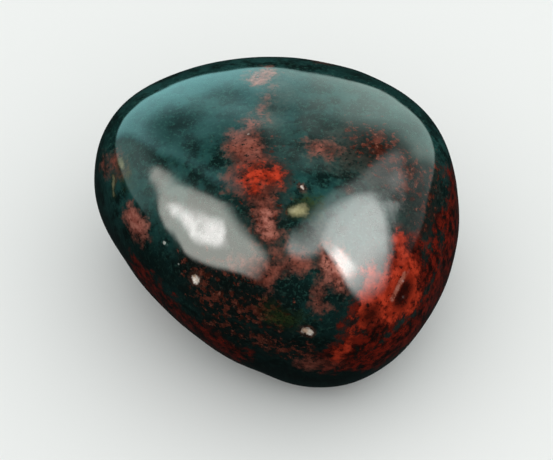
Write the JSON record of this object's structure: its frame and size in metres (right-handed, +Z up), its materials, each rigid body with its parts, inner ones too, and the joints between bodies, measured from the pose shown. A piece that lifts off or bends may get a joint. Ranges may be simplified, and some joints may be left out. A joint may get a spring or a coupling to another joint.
{
  "type": "tumbled bloodstone",
  "caption": "Polished bloodstone pebble, a soft three-cornered lump of dark green chalcedony with red jasper spots, flat enough below to rest on a surface.",
  "frame": {"origin": "middle of the pebble's width and depth, on the flat that it rests on", "axes": "+X to the right across its width, +Y away from the viewer of the picture, +Z up from the resting flat"},
  "size_m": [0.034, 0.0336, 0.0226],
  "materials": {
    "bloodstone": "polished"
  },
  "bodies": {
    "root": {"bloodstone": "bloodstone"}
  },
  "joints": []
}
